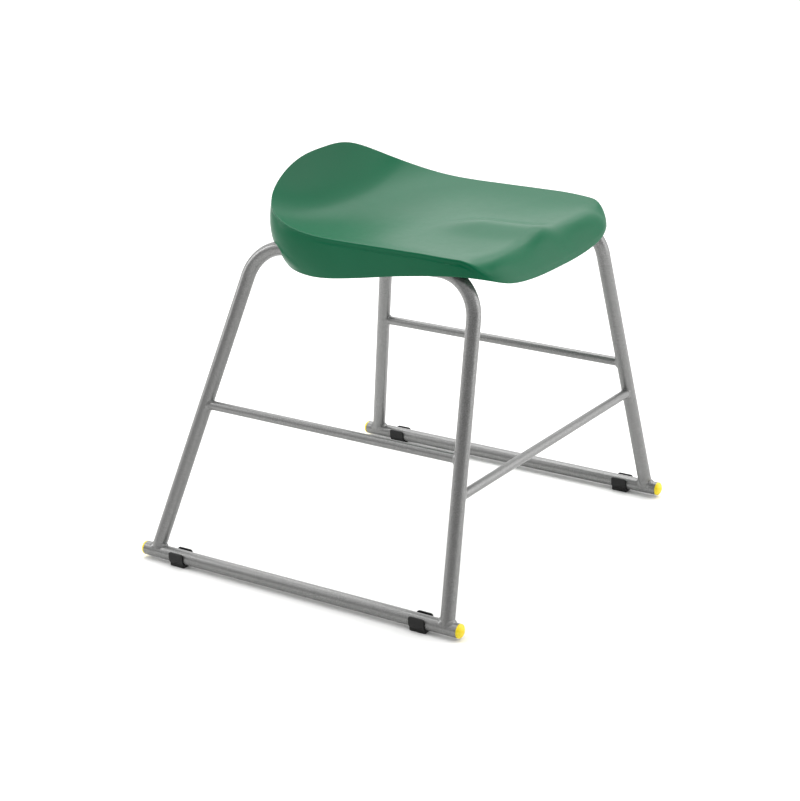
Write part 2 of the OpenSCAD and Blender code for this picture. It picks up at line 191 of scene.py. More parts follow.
# %% Floor, soft boxes and room light
FLOOR_REACH = 30.0
floor_material, tree, place = new_material("matt white painted floor")
mottle = add(tree, "ShaderNodeTexNoise", {"Scale": 1 / 0.25, "Detail": 4.0}, {"Vector": place})
shade = add(tree, "ShaderNodeMix", {"data_type": "RGBA", 6: linear("#EEEEED"), 7: linear("#F2F2F1")},
            {0: mottle.outputs["Fac"]})
finish_material(tree, {"Roughness": 0.9, "Specular IOR Level": 0.1},
                {"Base Color": shade.outputs[2]})
floor_mesh = bpy.data.meshes.new("floor")
floor_mesh.from_pydata([(x * FLOOR_REACH, y * FLOOR_REACH, 0)
                        for x, y in ((-1, -1), (1, -1), (1, 1), (-1, 1))], [], [(0, 1, 2, 3)])
floor = bpy.data.objects.new("floor", floor_mesh)
floor_mesh.materials.append(floor_material)
bpy.context.scene.collection.objects.link(floor)


def soft_box(name, at, aim, size, watts):
    """A rectangular area light at a place, turned to face another."""
    lamp = bpy.data.lights.new(name, "AREA")
    lamp.shape = "RECTANGLE"
    lamp.size, lamp.size_y = size
    lamp.energy = watts
    made = bpy.data.objects.new(name, lamp)
    made.location = at
    made.rotation_euler = (Vector(aim) - Vector(at)).to_track_quat("-Z", "Y").to_euler()
    bpy.context.scene.collection.objects.link(made)


soft_box("overhead_soft_box", (0.8, 0.6, 2.6), (0, 0, 0.3), (2.6, 2.6), 44)
soft_box("side_soft_box", (-1.1, 2.3, 1.3), (0, 0, 0.25), (0.5, 1.8), 22)
soft_box("front_soft_box", (1.3, -2.3, 1.0), (0, -0.1, 0.4), (2.6, 2.6), 46)
ROOM_LIGHT = 0.55
LIGHTER_BEHIND = 0.65
LIGHTER_ABOVE = 1.02
DARKEST = 0.03
world = bpy.data.worlds.new("white_room")
world.use_nodes = True
tree = world.node_tree
behind = Vector((-away.x, -away.y, 0)).normalized() * LIGHTER_BEHIND
direction = add(tree, "ShaderNodeTexCoord").outputs["Generated"]
slope = add(tree, "ShaderNodeVectorMath",
            {"operation": "DOT_PRODUCT", 1: (behind.x, behind.y, LIGHTER_ABOVE)}, {0: direction})
level = add(tree, "ShaderNodeMath", {"operation": "ADD", 1: ROOM_LIGHT}, {0: slope.outputs["Value"]})
level = add(tree, "ShaderNodeMath", {"operation": "MAXIMUM", 1: DARKEST}, {0: level.outputs["Value"]})
tree.nodes["Background"].inputs["Color"].default_value = linear("#FFFFFF")
tree.links.new(level.outputs["Value"], tree.nodes["Background"].inputs["Strength"])
bpy.context.scene.world = world
bpy.context.scene.view_settings.view_transform = "Standard"

# %% [markdown]
# ## Finish: moulded polypropylene
# School seats are injection moulded in polypropylene, coloured right through. The steel mould is
# spark eroded, which leaves a fine even grain, so the plastic has a broad soft shine and no sharp
# reflections. The colour drifts very slightly where the melt cooled at different speeds.
# The grain is near 0.3 mm on the real seat. It is drawn at 1.2 mm, or it would not show.

# %% Polypropylene
GRAIN_MM = 1.2
GRAIN_DEPTH_MM = 0.02
FLOW_MM = 90.0
seat_material, tree, place = new_material("spark-grained polypropylene")
flow = add(tree, "ShaderNodeTexNoise", {"Scale": 1 / (FLOW_MM * MM), "Detail": 3.0},
           {"Vector": place})
colour = add(tree, "ShaderNodeMix",
             {"data_type": "RGBA", 6: linear("#005335"), 7: linear("#00593A")},
             {0: flow.outputs["Fac"]})
rub = add(tree, "ShaderNodeTexNoise", {"Scale": 1 / (14 * MM), "Detail": 6.0, "Roughness": 0.7},
          {"Vector": place})
shine = add(tree, "ShaderNodeMapRange", {"To Min": 0.26, "To Max": 0.36},
            {"Value": rub.outputs["Fac"]})
grain = add(tree, "ShaderNodeTexNoise", {"Scale": 1 / (GRAIN_MM * MM), "Detail": 2.0},
            {"Vector": place})
relief = add(tree, "ShaderNodeBump", {"Strength": 0.5, "Distance": GRAIN_DEPTH_MM * MM},
             {"Height": grain.outputs["Fac"]})
finish_material(tree, {"IOR": 1.49, "Specular IOR Level": 0.15},
                {"Base Color": colour.outputs[2], "Roughness": shine.outputs["Result"],
                 "Normal": relief.outputs["Normal"]})

# %% [markdown]
# ## Finish: silver-grey powder coat
# The welded frame is sprayed with a polyester powder that holds aluminium flake and is then baked.
# The flake gives a half-metallic glow with a fine sparkle. The melted powder keeps a slight
# orange peel, with waves about 2 mm apart.

# %% Powder coat
FLAKE_MM = 0.9
PEEL_MM = 2.2
PEEL_DEPTH_MM = 0.012
paint_material, tree, place = new_material("silver-grey powder coat")
flake = add(tree, "ShaderNodeTexNoise",
            {"Scale": 1 / (FLAKE_MM * MM), "Detail": 3.0, "Roughness": 0.7}, {"Vector": place})
sparkle = add(tree, "ShaderNodeValToRGB", {}, {"Fac": flake.outputs["Fac"]})
sparkle.color_ramp.elements[0].position = 0.38
sparkle.color_ramp.elements[0].color = linear("#646464")
sparkle.color_ramp.elements[1].position = 0.62
sparkle.color_ramp.elements[1].color = linear("#8F8F8E")
peel = add(tree, "ShaderNodeTexNoise", {"Scale": 1 / (PEEL_MM * MM), "Detail": 1.0},
           {"Vector": place})
relief = add(tree, "ShaderNodeBump", {"Strength": 0.6, "Distance": PEEL_DEPTH_MM * MM},
             {"Height": peel.outputs["Fac"]})
gloss = add(tree, "ShaderNodeMapRange", {"To Min": 0.26, "To Max": 0.38},
            {"Value": flake.outputs["Fac"]})
finish_material(tree, {"Metallic": 0.55},
                {"Base Color": sparkle.outputs["Color"], "Roughness": gloss.outputs["Result"],
                 "Normal": relief.outputs["Normal"]})

# %% [markdown]
# ## Finish: bright zinc plate
# The seat screws and washers are zinc plated, as most bought-in screws are. The plate is bright
# but uneven, with cloudy patches a few millimetres wide.

# %% Zinc plate
CLOUD_MM = 2.5
zinc_material, tree, place = new_material("bright zinc plate")
cloud = add(tree, "ShaderNodeTexNoise", {"Scale": 1 / (CLOUD_MM * MM), "Detail": 4.0},
            {"Vector": place})
tint = add(tree, "ShaderNodeMix", {"data_type": "RGBA", 6: linear("#B9BDC2"), 7: linear("#D6D7D3")},
           {0: cloud.outputs["Fac"]})
gloss = add(tree, "ShaderNodeMapRange", {"To Min": 0.2, "To Max": 0.38},
            {"Value": cloud.outputs["Fac"]})
finish_material(tree, {"Metallic": 1.0},
                {"Base Color": tint.outputs[2], "Roughness": gloss.outputs["Result"]})

# %% [markdown]
# ## Finish: moulded polyethylene
# The end plugs are soft polyethylene, bright yellow and a little waxy. They are pressed in with a
# mallet, so the dome is faintly scuffed.

# %% Polyethylene
plug_material, tree, place = new_material("moulded polyethylene")
scuff = add(tree, "ShaderNodeTexNoise", {"Scale": 1 / (3 * MM), "Detail": 6.0, "Roughness": 0.75},
            {"Vector": place})
tint = add(tree, "ShaderNodeMix", {"data_type": "RGBA", 6: linear("#DEC400"), 7: linear("#EAD304")},
           {0: scuff.outputs["Fac"]})
gloss = add(tree, "ShaderNodeMapRange", {"To Min": 0.26, "To Max": 0.5},
            {"Value": scuff.outputs["Fac"]})
relief = add(tree, "ShaderNodeBump", {"Strength": 0.4, "Distance": 0.03 * MM},
             {"Height": scuff.outputs["Fac"]})
finish_material(tree, {"IOR": 1.51, "Subsurface Weight": 0.12, "Subsurface Scale": 1.5 * MM},
                {"Base Color": tint.outputs[2], "Roughness": gloss.outputs["Result"],
                 "Normal": relief.outputs["Normal"]})

# %% [markdown]
# ## Finish: moulded nylon
# The glides are black nylon, which slides on hard floors without marking them. Nylon is matt from
# the mould. Near the floor it is scraped, so a mask by height brings in a greyer, rougher surface.

# %% Nylon
SCRAPE_TOP_MM = 2.5
glide_material, tree, place = new_material("matt moulded nylon")
height = add(tree, "ShaderNodeSeparateXYZ", {}, {"Vector": place})
grit = add(tree, "ShaderNodeTexNoise", {"Scale": 1 / (0.9 * MM), "Detail": 5.0, "Roughness": 0.7},
           {"Vector": place})
low = add(tree, "ShaderNodeMapRange", {"From Min": SCRAPE_TOP_MM * MM, "From Max": 0.0},
          {"Value": height.outputs["Z"]})
scrape = add(tree, "ShaderNodeMath", {"operation": "MULTIPLY"},
             {0: low.outputs["Result"], 1: grit.outputs["Fac"]})
tint = add(tree, "ShaderNodeMix", {"data_type": "RGBA", 6: linear("#050505"), 7: linear("#1C1B1A")},
           {0: scrape.outputs["Value"]})
gloss = add(tree, "ShaderNodeMapRange", {"To Min": 0.38, "To Max": 0.62},
            {"Value": grit.outputs["Fac"]})
relief = add(tree, "ShaderNodeBump", {"Strength": 0.5, "Distance": 0.03 * MM},
             {"Height": grit.outputs["Fac"]})
finish_material(tree, {"IOR": 1.53, "Specular IOR Level": 0.3},
                {"Base Color": tint.outputs[2], "Roughness": gloss.outputs["Result"],
                 "Normal": relief.outputs["Normal"]})
print("materials:", [m.name for m in bpy.data.materials if m.users])

# %% [markdown]
# ## Where the frame's tubes lie
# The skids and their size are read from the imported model. The legs lean in a plane that passes
# through the skid, so a few of the design's own lengths say where each leg, bend and bar runs.
# The plane's own axes are u, to the rear, and v, up the lean.

# %% The side frame's lines
skid_low, skid_high = (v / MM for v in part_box("right_skid_tube"))
TUBE_R = (skid_high.z - skid_low.z) / 2
SKID_X = (skid_low.x + skid_high.x) / 2
SKID_Z = (skid_low.z + skid_high.z) / 2
RUNG_R = (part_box("front_foot_rail")[1].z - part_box("front_foot_rail")[0].z) / 2 / MM
FOOT_GAP = 464.6
FRONT_CORNER_H = 423.0
REAR_CORNER_H = 416.5
BAR_HALF_GAP = 152.4
FRONT_RAKE = 22.5
REAR_RAKE = 107.4
BEND_R = 57.0
RUNG_H = 203.5
RAIL_H = 157.2
lean = math.atan2(SKID_X - BAR_HALF_GAP, FRONT_CORNER_H)


def side_point(u, h):
    """A point of the right side frame's plane, at a place along it and a height over the skid."""
    return Vector((SKID_X - h * math.tan(lean), u, SKID_Z + h))


front_foot = side_point(-FOOT_GAP / 2, 0)
rear_foot = side_point(FOOT_GAP / 2, 0)
front_corner = side_point(-FOOT_GAP / 2 + FRONT_RAKE, FRONT_CORNER_H)
rear_corner = side_point(FOOT_GAP / 2 - REAR_RAKE, REAR_CORNER_H)
front_at_rung = front_foot.lerp(front_corner, RUNG_H / FRONT_CORNER_H)
rear_at_rung = rear_foot.lerp(rear_corner, RUNG_H / REAR_CORNER_H)
front_at_rail = front_foot.lerp(front_corner, RAIL_H / FRONT_CORNER_H)


def bar_point(y):
    """The point of a top bar's axis at a place along the stool."""
    return front_corner.lerp(rear_corner, (y - front_corner.y) / (rear_corner.y - front_corner.y))


print("tube radius", round(TUBE_R, 2), "lean", round(math.degrees(lean), 2), "degrees")

# %% [markdown]
# ## The seat's form
# The real seat is one thin moulding: a dish with a raised rear lip, a ridge between the thighs, a
# front edge that rolls over, and a skirt that hides the frame. It could be sculpted or made from a
# subdivided cage. Here it is worked out by formula, section by section round the seat, because the
# same rule made the fixed model, so the two agree everywhere. An angle of 90 degrees is the middle
# of the rear lip and -90 the middle of the front.

# %% Seat sizes
SEAT_HALF_W = 177.0
SEAT_BACK = 184.0
SEAT_FRONT = 183.0
SEAT_Y = -55.0
REAR_SQUARENESS = 4.5
FRONT_SQUARENESS = 6.4
RIM_H = 460.5
LIP_H = 69.0
LIP_SPREAD = 42.0
SHOULDER_DROP = 4.0
DISH_H = 448.5
DISH_POWER = 4.0
LIP_POWER = 3.5
DIP, DIP_Y, DIP_HALF_W, DIP_HALF_L = 5.0, 15.0, 105.0, 60.0
RIDGE, RIDGE_W = 8.0, 34.0
NOSE_DEPTH = 42.0
NOSE_ROUND = 0.55
SHELL_T = 3.5
# Angle from the side, and how far the hem hangs below the side rim there
HEM_LINE = ((-90, 50), (-72, 48.5), (-58, 42), (-46, 28), (-38, 25), (-20, 34), (4, 48), (24, 57),
            (38, 56), (60, 48), (90, 46))
# Angle, and how far the hem is drawn in from the rim
TUCK_LINE = ((-90, 0), (-40, 0), (-10, 3), (18, 5), (32, 9), (44, 15), (60, 18), (90, 20))
# Angle, and how far the skirt swells between rim and hem
SWELL_LINE = ((-90, 0), (-30, 0), (10, 1), (28, 4), (44, 9), (60, 7), (90, 5))


# %% Curves of the seat
def ramp(start, stop, value):
    u = np.clip((value - start) / (stop - start), 0, 1)
    return u * u * (3 - 2 * u)


def curve(table, value):
    """A smooth curve through a table's stations."""
    xs, ys = (np.array(column, float) for column in zip(*table))
    slopes = np.zeros(len(xs))
    slopes[1:-1] = (ys[2:] - ys[:-2]) / (xs[2:] - xs[:-2])
    i = np.clip(np.searchsorted(xs, value, "right") - 1, 0, len(xs) - 2)
    h = xs[i + 1] - xs[i]
    u = (value - xs[i]) / h
    return ((2 * u ** 3 - 3 * u ** 2 + 1) * ys[i] + (u ** 3 - 2 * u ** 2 + u) * h * slopes[i]
            + (3 * u ** 2 - 2 * u ** 3) * ys[i + 1] + (u ** 3 - u ** 2) * h * slopes[i + 1])


def fold(angle):
    """The same angle measured from the nearer side, between -90 and 90."""
    return np.degrees(np.arcsin(np.clip(np.sin(np.radians(angle)), -1, 1)))


def rim_reach(angle):
    c, s = np.cos(np.radians(angle)), np.sin(np.radians(angle))
    power = np.where(s > 0, REAR_SQUARENESS, FRONT_SQUARENESS)
    end = np.where(s > 0, SEAT_BACK, SEAT_FRONT)
    return ((abs(c) / SEAT_HALF_W) ** power + (abs(s) / end) ** power) ** (-1 / power)


def lip(angle):
    return np.exp(-((90 - fold(angle)) / LIP_SPREAD) ** 3)


def shoulder_h(angle):
    return RIM_H + LIP_H * lip(angle) - SHOULDER_DROP * ramp(-25, -50, fold(angle))


def hem_h(angle):
    return RIM_H - curve(HEM_LINE, fold(angle))


def seat_h(angle, share):
    """Height of the upper face at an angle and a share of the way out to the rim."""
    reach = rim_reach(angle)
    x = share * reach * np.cos(np.radians(angle))
    y = SEAT_Y + share * reach * np.sin(np.radians(angle))
    shoulder = shoulder_h(angle)
    nose = (shoulder - hem_h(angle) - SHELL_T) * ramp(-39, -50, fold(angle))
    u = np.clip(1 - (1 - share) * reach / NOSE_DEPTH, 0, 1)
    fall = NOSE_ROUND * (1 - np.sqrt(1 - u * u)) + (1 - NOSE_ROUND) * u ** 3
    dish = (shoulder - DISH_H) * share ** (DISH_POWER + LIP_POWER * lip(angle))
    ridge = RIDGE * np.exp(-(x / RIDGE_W) ** 2) * ramp(-50, -130, y) * np.where(nose > 0, 1 - fall, 1)
    dip = DIP * np.exp(-(x / DIP_HALF_W) ** 2 - ((y - DIP_Y) / DIP_HALF_L) ** 2)
    return DISH_H + dish + ridge - dip - nose * fall


def seat_h_at(x, y):
    angle = math.degrees(math.atan2(y - SEAT_Y, x))
    return float(seat_h(angle, math.hypot(x, y - SEAT_Y) / rim_reach(angle)))


print("seat middle", round(seat_h_at(0, 0), 1), "lip", round(float(shoulder_h(90.0)), 1))

# %% [markdown]
# ## The seat's skin
# Each section runs from the middle, over the rim and down the skirt. Just below the side rims the
# mould's two halves meet, and the skirt stands a millimetre proud there, a small ledge that
# catches the light. The inside is the same section moved in by the wall. Where the dish's wall and
# the skirt's wall meet, the moved line would cross itself, so that loop is cut off and the corner
# is smoothed. A half-round hem joins the inside to the outside.

# %% Sections
RINGS = 360
DISH_STEPS = 40
DISH_CROWDING = 0.7
RIM_STEPS = 8
OUTER_RIM_R = 3.2
INNER_RIM_R = 6.0
LEDGE = 1.2
LEDGE_DROP = 4.2
LEDGE_STATIONS = (1.6, 3.2, 4.0, 4.5, 5.0, 5.6, 7.0)
SKIRT_STEPS = 16
HEM_STEPS = 5
HEM_R = SHELL_T * 0.45
CORNER_HALF = 2
CORNER_PASSES = 3
PARALLEL = 1e-12


def section(angle, rim_r, ledge):
    """One section's points as [distance out, height], from near the middle to just above the hem."""
    reach = float(rim_reach(angle))
    rim = np.array([reach, float(seat_h(angle, 1.0))])
    hem = np.array([reach - float(curve(TUCK_LINE, fold(angle))), float(hem_h(angle)) + HEM_R])
    drop = np.linalg.norm(hem - rim)
    radius = min(rim_r, 0.45 * drop)
    last = 1 - radius / reach
    start = np.array([last * reach, float(seat_h(angle, last))])
    stop = rim + (hem - rim) * radius / drop
    out = np.array([rim[1] - hem[1], hem[0] - rim[0]]) / drop
    swell = float(curve(SWELL_LINE, fold(angle)))
    shares = last * (np.arange(1, DISH_STEPS + 1) / DISH_STEPS) ** DISH_CROWDING
    points = list(np.stack([shares * reach, seat_h(angle, shares)], 1))
    for i in range(1, RIM_STEPS + 1):
        u = i / RIM_STEPS
        points.append((1 - u) ** 2 * start + 2 * u * (1 - u) * rim + u * u * stop)
    length = np.linalg.norm(hem - stop)
    fixed = float(ramp(12, 30, length))
    for i in range(1, SKIRT_STEPS + 1):
        n = len(LEDGE_STATIONS)
        far = LEDGE_STATIONS[-1]
        down = LEDGE_STATIONS[i - 1] if i <= n else far + (length - far) * (i - n) / (SKIRT_STEPS - n)
        u = fixed * down / length + (1 - fixed) * i / SKIRT_STEPS
        step = ledge * float(ramp(LEDGE_DROP - 0.5, LEDGE_DROP + 0.6, u * length)) * (1 - u * u)
        points.append(stop + (hem - stop) * u + out * (swell * 4 * u * (1 - u) + step))
    return np.array(points)


def crossing(points):
    """The widest loop of a line that crosses itself, as its first and last segment and the place."""
    first, run = points[:-1], points[1:] - points[:-1]
    gap = first[None] - first[:, None]
    spread = run[:, None, 0] * run[None, :, 1] - run[:, None, 1] * run[None, :, 0]
    spread[abs(spread) < PARALLEL] = np.inf
    t = (gap[..., 0] * run[None, :, 1] - gap[..., 1] * run[None, :, 0]) / spread
    u = (gap[..., 0] * run[:, None, 1] - gap[..., 1] * run[:, None, 0]) / spread
    pairs = [(int(j - i), int(i), int(j)) for i, j in
             np.argwhere((t >= 0) & (t < 1) & (u >= 0) & (u < 1) & np.isfinite(spread)) if j > i + 1]
    if not pairs:
        return None
    _, i, j = max(pairs)
    return i, j, first[i] + run[i] * t[i, j]


def spread_evenly(points, count):
    """The same line with a set number of points."""
    along = np.concatenate([[0], np.cumsum(np.linalg.norm(np.diff(points, axis=0), axis=1))])
    stations = along[-1] * np.linspace(0, 1, count)
    return np.stack([np.interp(stations, along, points[:, k]) for k in (0, 1)], 1)


def inner_section(points):
    """The section moved in by the wall, with the loop cut off where the dish and skirt walls meet."""
    run = np.empty_like(points)
    run[1:-1] = points[2:] - points[:-2]
    run[0], run[-1] = points[1] - points[0], points[-1] - points[-2]
    run /= np.linalg.norm(run, axis=1)[:, None]
    moved = points + SHELL_T * np.stack([run[:, 1], -run[:, 0]], 1)
    moved[-1] = points[-1] - (2 * HEM_R, 0)
    corner = DISH_STEPS + RIM_STEPS // 2
    loop = crossing(moved)
    if loop:
        dish_side = np.vstack([moved[:loop[0] + 1], loop[2]])
        skirt_side = np.vstack([loop[2], moved[loop[1] + 1:]])
    else:
        dish_side, skirt_side = moved[:corner], moved[corner - 1:]
    moved = np.vstack([spread_evenly(dish_side, corner),
                       spread_evenly(skirt_side, len(points) - corner + 1)[1:]])
    low, high = corner - 1 - CORNER_HALF, corner + CORNER_HALF
    for _ in range(CORNER_PASSES):
        moved[low:high] = (moved[low - 1:high - 1] + moved[low + 1:high + 1]) / 2
    return moved


# %% Skin of the seat
seat_points, seat_loops = [], []
for angle in (360 * i / RINGS for i in range(RINGS)):
    ledge = LEDGE * float(ramp(-45, -38, fold(angle)) * ramp(26, 4, fold(angle)))
    outer = section(angle, OUTER_RIM_R, ledge)
    inner = inner_section(section(angle, INNER_RIM_R, 0))
    turns = [math.pi * i / (HEM_STEPS + 1) for i in range(1, HEM_STEPS + 1)]
    hem = [outer[-1] + HEM_R * np.array([math.cos(t) - 1, -math.sin(t)]) for t in turns]
    profile = [*outer, *hem, *inner[::-1]]
    c, s = math.cos(math.radians(angle)), math.sin(math.radians(angle))
    seat_points += [(p[0] * c, SEAT_Y + p[0] * s, p[1]) for p in profile]
    seat_loops.append(len(profile))
loop = seat_loops[0]
middle = RINGS * loop
centre_h = float(seat_h(0.0, 0.0))
seat_points += [(0, SEAT_Y, centre_h), (0, SEAT_Y, centre_h - SHELL_T)]
seat_faces = []
for i in range(RINGS):
    here, beyond = i * loop, (i + 1) % RINGS * loop
    seat_faces += [(middle, here, beyond), (middle + 1, beyond + loop - 1, here + loop - 1)]
    seat_faces += [(here + j, here + j + 1, beyond + j + 1, beyond + j) for j in range(loop - 1)]
seat = make_object("moulded_seat", seat_points, seat_faces)
print("seat skin:", len(seat.data.vertices), "points")

# %% [markdown]
# ## Inside the seat
# Under the dish, ribs straddle the two top bars and four round bosses take the seat screws. They
# are moulded in one with the skin, so they are joined to it by a boolean and not left as separate
# lumps. The bosses taper by half a degree or so, as everything that has to leave a mould does.

# %% Ribs and bosses
STRAP_YS = (-110.0, 40.0)
STRAP_W = 25.0
SCREW_X = 62.0
SCREW_R = 2.4
PILOT_DEPTH = 10.5
BOSS_R = 6.5
BOSS_DRAFT = 0.25
RIB_T = 3.0
RIB_PITCH = 9.0
RIBS_IN_ROW = 2
RIB_REACH = 14.0
RIB_GAP = 0.2
RIB_STEPS = 16
SINK = 1.0
rib_ys = [y for i in range(1, RIBS_IN_ROW + 1)
          for y in (STRAP_YS[0] - STRAP_W / 2 - i * RIB_PITCH,
                    STRAP_YS[1] + STRAP_W / 2 + i * RIB_PITCH)]


def rim_half_w(y):
    d = y - SEAT_Y
    power, end = (REAR_SQUARENESS, SEAT_BACK) if d > 0 else (FRONT_SQUARENESS, SEAT_FRONT)
    return SEAT_HALF_W * (1 - (abs(d) / end) ** power) ** (1 / power)


def rib(y, side):
    """A thin wall across a top bar, up to the underside of the dish."""
    bar = bar_point(y)
    xs = np.linspace(bar.x - RIB_REACH, rim_half_w(y) - SHELL_T - SINK, RIB_STEPS)
    outline = [(x, bar.z) for x in (xs[-1], xs[0])]
    outline += [(x, seat_h_at(x, y) - SHELL_T + SINK) for x in xs]
    n = len(outline)
    points = [(side * x, y + end * RIB_T / 2, z) for end in (-1, 1) for x, z in outline]
    faces = [tuple(range(n)), tuple(range(2 * n - 1, n - 1, -1))]
    faces += [(i, n + i, n + (i + 1) % n, (i + 1) % n) for i in range(n)]
    return points, faces


def boss(x, y):
    """A round boss with a blind pilot hole and a softened mouth."""
    low = bar_point(y).z
    top = seat_h_at(x, y) - SHELL_T + SINK
    profile = [(0.01, low + PILOT_DEPTH), (SCREW_R, low + PILOT_DEPTH), (SCREW_R, low + 0.4),
               (SCREW_R + 0.4, low), (BOSS_R - BOSS_DRAFT - 0.5, low),
               (BOSS_R - BOSS_DRAFT, low + 0.5), (BOSS_R, top), (0.01, top)]
    points, faces = lathe(profile, 48)
    return [(px + x, py + y, pz) for px, py, pz in points], faces


def bar_rod(start, stop, radius, side, segments=64):
    """A solid rod between two points, mirrored to the left if side is -1."""
    run = (stop - start).normalized()
    across = run.cross(Vector((0, 0, 1))).normalized()
    up = across.cross(run)
    turns = [2 * math.pi * i / segments for i in range(segments)]
    points = [end + radius * (across * math.cos(t) + up * math.sin(t))
              for end in (start, stop) for t in turns]
    points = [(side * p.x, p.y, p.z) for p in points]
    faces = [tuple(range(segments)), tuple(range(2 * segments - 1, segments - 1, -1))]
    faces += [(i, segments + i, segments + (i + 1) % segments, (i + 1) % segments)
              for i in range(segments)]
    return points, faces


ribs = make_object("ribs", *gather([rib(y, side) for y in rib_ys for side in (-1, 1)]))
bars = make_object("bars", *gather([bar_rod(front_corner, rear_corner, TUBE_R + RIB_GAP, side)
                                    for side in (-1, 1)]))
combine(ribs, bars, "DIFFERENCE")
bosses = make_object("bosses", *gather([boss(side * SCREW_X, y)
                                        for y in STRAP_YS for side in (-1, 1)]))
combine(seat, ribs, "UNION")
combine(seat, bosses, "UNION")
print("seat with ribs and bosses:", len(seat.data.vertices), "points")

# %% [markdown]
# ## Notches for the rear bends
# The top bars leave the seat through its rear corners, where they bend down into the rear legs.
# The skirt is notched round each bend, and the notch is open below, so that the seat drops over
# the frame. The cutter follows the bend's own arc, with the tube's radius and a small gap.

# %% Notches
NOTCH_GAP = 1.5
ARC_STEPS = 24


def bend_arc(before, corner, after, radius, steps):
    """Points along the arc that rounds a corner."""
    into, out = (corner - before).normalized(), (after - corner).normalized()
    turn = into.angle(out)
    trim = radius * math.tan(turn / 2)
    start = corner - into * trim
    inward = (out - into * into.dot(out)).normalized()
    centre = start + inward * radius
    return [centre + radius * (-inward * math.cos(t) + into * math.sin(t))
            for t in (turn * i / steps for i in range(steps + 1))]


def swept_rod(path, radius, side, segments=48):
    """A solid rod along a path that lies in the side frame's plane."""
    across = (rear_corner - front_corner).cross(rear_foot - rear_corner).normalized()
    points = []
    for i, p in enumerate(path):
        run = (path[min(i + 1, len(path) - 1)] - path[max(i - 1, 0)]).normalized()
        up = across.cross(run)
        for t in (2 * math.pi * k / segments for k in range(segments)):
            q = p + radius * (across * math.cos(t) + up * math.sin(t))
            points.append((side * q.x, q.y, q.z))
    n = len(path)
    faces = [tuple(range(segments)), tuple(range(n * segments - 1, (n - 1) * segments - 1, -1))]
    faces += [(i * segments + k, (i + 1) * segments + k, (i + 1) * segments + (k + 1) % segments,
               i * segments + (k + 1) % segments) for i in range(n - 1) for k in range(segments)]
    return points, faces


def slot_block(side, y_start, y_stop):
    """The open part of a notch, below the bar."""
    x, top = rear_corner.x, rear_corner.z
    half = TUBE_R + NOTCH_GAP
    corners = [(side * (x + a * half), y, z) for z in (0, top) for a, y in
               ((-1, y_start), (1, y_start), (1, y_stop), (-1, y_stop))]
    faces = [(0, 1, 2, 3), (7, 6, 5, 4), (0, 4, 5, 1), (1, 5, 6, 2), (2, 6, 7, 3), (3, 7, 4, 0)]
    return corners, faces


rear_arc = bend_arc(front_corner, rear_corner, rear_foot, BEND_R, ARC_STEPS)
for side in (-1, 1):
    cutter = make_object("cutter", *swept_rod(rear_arc, TUBE_R + NOTCH_GAP, side))
    slot = make_object("slot", *slot_block(side, rear_arc[0].y, rear_arc[0].y + BEND_R))
    combine(cutter, slot, "UNION")
    combine(seat, cutter, "DIFFERENCE")
seat.data.materials.clear()
seat.data.materials.append(seat_material)
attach(seat, "root")
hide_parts("seat_shell")
print("finished seat:", len(seat.data.vertices), "points", len(seat.data.polygons), "faces")

# %% [markdown]
# ## End plugs
# Each skid end is closed by a pressed-in plug: a hollow stem grips the bore, a flange as wide as
# the tube covers its cut edge, and the face is domed. A lathe profile gives all of that, with the
# small edge radius that moulding leaves and a shallow gate mark in the middle.

# %% Plugs
PLUG_FLANGE = 2.5
PLUG_DOME = 4.0
PLUG_STEM = 14.0
PLUG_EDGE_R = 1.2
GATE_R = 1.6
GATE_DEPTH = 0.35
TUBE_WALL = 1.5


def dome_h(r):
    """Height of the domed face over the tube's end, at a distance from its middle."""
    sphere_r = (TUBE_R ** 2 + PLUG_DOME ** 2) / (2 * PLUG_DOME)
    return PLUG_FLANGE + PLUG_DOME - sphere_r + math.sqrt(sphere_r ** 2 - r ** 2)


stem_r = TUBE_R - TUBE_WALL - 0.05
bore_r = stem_r - 1.6
rim_top = PLUG_FLANGE + PLUG_EDGE_R * 0.35
plug_profile = [(0.01, -0.6), (bore_r, -0.6), (bore_r, -PLUG_STEM), (stem_r - 0.5, -PLUG_STEM),
                (stem_r, -PLUG_STEM + 1.2), (stem_r, 0), (TUBE_R - 0.25, 0), (TUBE_R, 0.25)]
plug_profile += [(TUBE_R - PLUG_EDGE_R * (1 - math.cos(t)), rim_top - PLUG_EDGE_R * (1 - math.sin(t)))
                 for t in (math.pi / 2 * i / 5 for i in range(5))]
plug_profile += [(r, dome_h(r)) for r in np.linspace(TUBE_R - PLUG_EDGE_R, GATE_R, 16)]
plug_profile += [(GATE_R - 0.25, dome_h(GATE_R) - GATE_DEPTH), (0.01, dome_h(GATE_R) - GATE_DEPTH)]
plug_points, plug_faces = lathe(plug_profile, 96)
for side, side_name in ((-1, "left"), (1, "right")):
    for end, end_name in ((-1, "front"), (1, "rear")):
        tip = skid_high.y if end > 0 else skid_low.y
        placed = [(side * SKID_X + x, tip + end * z, SKID_Z + y) for x, y, z in plug_points]
        plug = make_object(f"{side_name}_{end_name}_end_plug", placed, plug_faces)
        plug.data.materials.append(plug_material)
        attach(plug, "root")
        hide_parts(f"{side_name}_{end_name}_plug")
print("plug profile:", len(plug_profile), "points")

# %% [markdown]
# ## Glides
# A glide is a U-shaped saddle that snaps on to the skid from below, with a flat foot to run on.
# It is an outline drawn across the skid and carried along it. Towards each end the outline draws in
# and the walls get lower, which rounds every outer corner as the real moulding is rounded.

# %% Glides
GLIDE_T = 2.4
GLIDE_FOOT = 3.0
GRIP_H = TUBE_R * 0.85
FOOT_HALF_W = TUBE_R * 0.95
GLIDE_EDGE_R = 1.3
GRIP_CORNER_R = 4.0
PEG_R = 2.9
PEG_TOP = 3.5
END_STEPS = 8


